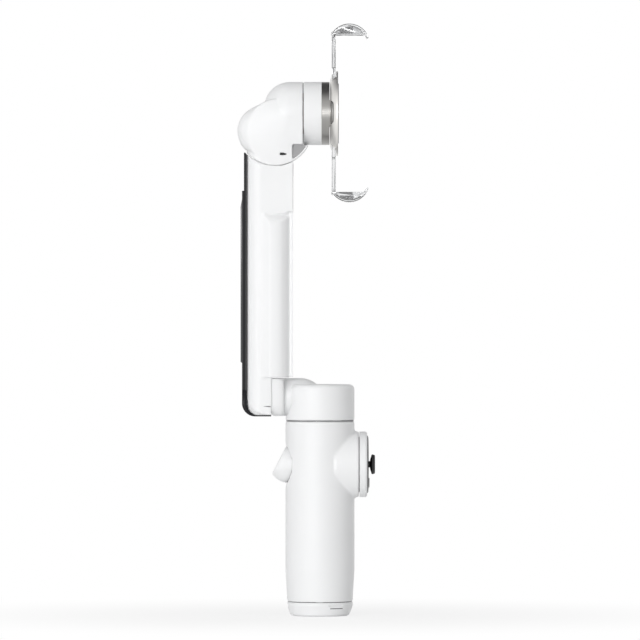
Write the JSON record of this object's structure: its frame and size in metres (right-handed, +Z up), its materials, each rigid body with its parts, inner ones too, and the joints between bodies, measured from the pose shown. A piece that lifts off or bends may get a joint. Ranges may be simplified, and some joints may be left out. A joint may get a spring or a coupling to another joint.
{
  "type": "gimbal stabilizer",
  "caption": "Folding hand-held gimbal stabilizer with a round handle, control panel, trigger, extending arm, motor head and a magnetic clear-jawed phone clamp.",
  "frame": {"origin": "centre of the tripod thread's mouth in the flat bottom of the base, on the handle axis", "axes": "+Z up along the handle and pan axis; +X to the front, where the control panel and the phone clamp face; +Y to the side that the arm folds to"},
  "size_m": [0.0688, 0.043, 0.2954],
  "materials": {
    "white_plastic": "satin",
    "button_plastic": "satin",
    "black_gloss": "gloss",
    "black_soft": "matte",
    "grey_plastic": "satin",
    "dark_frame": "matte",
    "battery_wrap": "satin",
    "board_green": "satin",
    "motor_copper": "satin",
    "magnet_steel": "satin",
    "steel": "satin",
    "brass": "satin",
    "ring_metal": "satin",
    "clamp_metal": "satin",
    "pad_rubber": "matte",
    "clear_plastic": "gloss"
  },
  "bodies": {
    "handle": {"handle_shell": "white_plastic", "handle_chassis": "dark_frame", "battery_cell": "battery_wrap", "main_board": "board_green", "control_face": "black_gloss", "touch_ring": "white_plastic", "joystick_socket": "steel", "usb_port": "steel", "pan_stator": "motor_copper", "pan_bearings": "steel", "trigger_pin": "steel"},
    "trigger": {"trigger": "white_plastic"},
    "joystick_yoke": {"joystick_yoke": "dark_frame"},
    "joystick": {"joystick_cap": "black_soft"},
    "shutter": {"shutter_button": "button_plastic"},
    "power": {"power_button": "white_plastic"},
    "tripod": {"base_cap": "white_plastic", "thread_insert": "brass", "tripod_hub": "dark_frame", "tripod_leg_rear": "grey_plastic", "tripod_leg_left": "grey_plastic", "tripod_leg_right": "grey_plastic", "leg_pins": "steel"},
    "pan": {"pan_housing": "white_plastic", "pan_bell": "steel", "pan_magnets": "magnet_steel", "pan_shaft": "steel", "fold_pin": "steel"},
    "fold": {"elbow": "white_plastic", "rod_post": "steel"},
    "rod_1": {"rod_tube_1": "steel"},
    "rod_2": {"rod_tube_2": "steel"},
    "arm": {"arm_shell": "white_plastic", "arm_cover": "black_gloss", "arm_inlay": "grey_plastic", "rod_sleeve": "steel", "tilt_stator": "motor_copper", "tilt_bearings": "steel", "tilt_hub_cap": "white_plastic"},
    "head": {"head_shell": "white_plastic", "tilt_bell": "steel", "tilt_magnets": "magnet_steel", "tilt_shaft": "steel", "pocket_insert": "grey_plastic", "roll_stator": "motor_copper", "roll_bearings": "steel"},
    "roll": {"roll_cap": "white_plastic", "roll_magnets": "magnet_steel", "roll_shaft": "steel", "mount_ring": "ring_metal", "mount_magnets": "magnet_steel"},
    "clamp": {"clamp_disc": "clamp_metal", "clamp_plate": "clamp_metal", "clamp_pad": "pad_rubber"},
    "upper_jaw": {"upper_jaw": "clear_plastic", "upper_pad": "pad_rubber"},
    "lower_jaw": {"lower_jaw": "clear_plastic", "lower_pad": "pad_rubber"}
  },
  "joints": [
    {"name": "tripod_pull", "type": "slide", "parent": "handle", "child": "tripod", "axis": [0, 0, -1], "range_m": [0, 0.05]},
    {"name": "trigger_press", "type": "hinge", "parent": "handle", "child": "trigger", "pos_m": [-0.0124, 0, 0.0846], "axis": [0, -1, 0], "range_deg": [0, 10]},
    {"name": "joystick_up_down", "type": "hinge", "parent": "handle", "child": "joystick_yoke", "pos_m": [0.0185, 0, 0.0756], "axis": [0, 1, 0], "range_deg": [-8, 8]},
    {"name": "joystick_left_right", "type": "hinge", "parent": "joystick_yoke", "child": "joystick", "pos_m": [0.0185, 0, 0.0756], "axis": [0, 0, 1], "range_deg": [-8, 8]},
    {"name": "shutter_press", "type": "slide", "parent": "handle", "child": "shutter", "axis": [-1, 0, 0], "range_m": [0, 0.0006]},
    {"name": "power_press", "type": "slide", "parent": "handle", "child": "power", "axis": [0.5, -0.866, 0], "range_m": [0, 0.0006]},
    {"name": "pan_turn", "type": "hinge", "parent": "handle", "child": "pan", "pos_m": [0, 0, 0.0976], "axis": [0, 0, 1], "range_deg": [-200, 120]},
    {"name": "arm_fold", "type": "hinge", "parent": "pan", "child": "fold", "pos_m": [0, 0, 0.10925], "axis": [-1, 0, 0], "range_deg": [0, 155]},
    {"name": "rod_pull", "type": "slide", "parent": "fold", "child": "rod_1", "axis": [0, 0, 1], "range_m": [0, 0.0717]},
    {"name": "rod_tube_2_pull", "type": "slide", "parent": "rod_1", "child": "rod_2", "axis": [0, 0, 1], "range_m": [0, 0.0717]},
    {"name": "rod_sleeve_pull", "type": "slide", "parent": "rod_2", "child": "arm", "axis": [0, 0, 1], "range_m": [0, 0.0717]},
    {"name": "tilt_turn", "type": "hinge", "parent": "arm", "child": "head", "pos_m": [-0.0225, 0, 0.2435], "axis": [0, -1, 0], "range_deg": [-25, 70]},
    {"name": "roll_turn", "type": "hinge", "parent": "head", "child": "roll", "pos_m": [0, 0, 0.251], "axis": [1, 0, 0], "range_deg": [-110, 110]},
    {"name": "clamp_release", "type": "slide", "parent": "roll", "child": "clamp", "axis": [1, 0, 0], "range_m": [0, 0.02]},
    {"name": "jaw_open", "type": "slide", "parent": "clamp", "child": "upper_jaw", "axis": [0, 0, 1], "range_m": [-0.007, 0.003]},
    {"name": "lower_jaw_open", "type": "slide", "parent": "clamp", "child": "lower_jaw", "axis": [0, 0, -1], "range_m": [-0.007, 0.003]}
  ],
  "couplings": [
    {"joint": "rod_tube_2_pull", "follows": "rod_pull", "ratio": 1},
    {"joint": "rod_sleeve_pull", "follows": "rod_pull", "ratio": 1},
    {"joint": "lower_jaw_open", "follows": "jaw_open", "ratio": 1}
  ]
}
